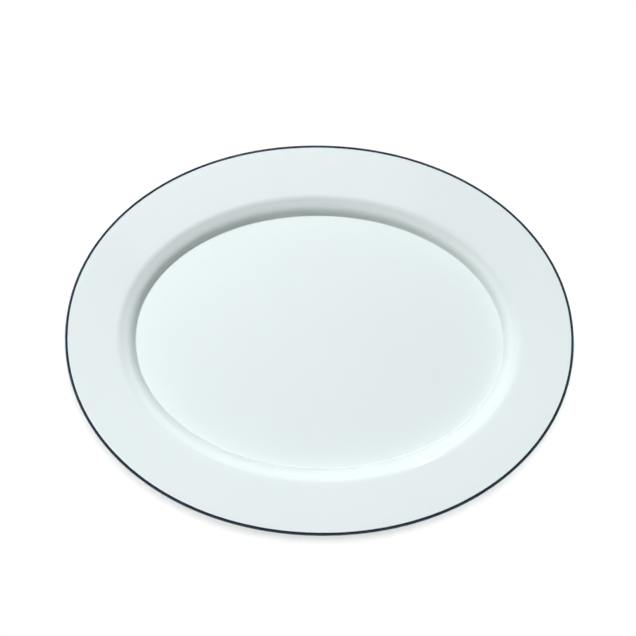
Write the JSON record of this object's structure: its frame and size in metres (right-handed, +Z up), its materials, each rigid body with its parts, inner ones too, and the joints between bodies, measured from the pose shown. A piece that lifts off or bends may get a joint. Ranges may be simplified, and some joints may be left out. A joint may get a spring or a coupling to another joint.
{
  "type": "oval serving platter",
  "caption": "Oval serving platter with a broad, gently raised rim, a shallow well, a dark fired-on line round the lip and a foot ring underneath.",
  "frame": {"origin": "under the middle of the foot ring, on the surface the platter stands on", "axes": "+Z up out of the well, +X along the platter's length, +Y across it"},
  "size_m": [0.34, 0.264, 0.0261],
  "materials": {
    "clay_body": "matte, unglazed",
    "glaze": "clear gloss over white china",
    "edge_line": "gloss, dark slate blue"
  },
  "bodies": {
    "root": {"china_body": "clay_body", "glaze_coat": "glaze", "glaze_foot_recess": "glaze", "edge_band": "edge_line"}
  },
  "joints": []
}
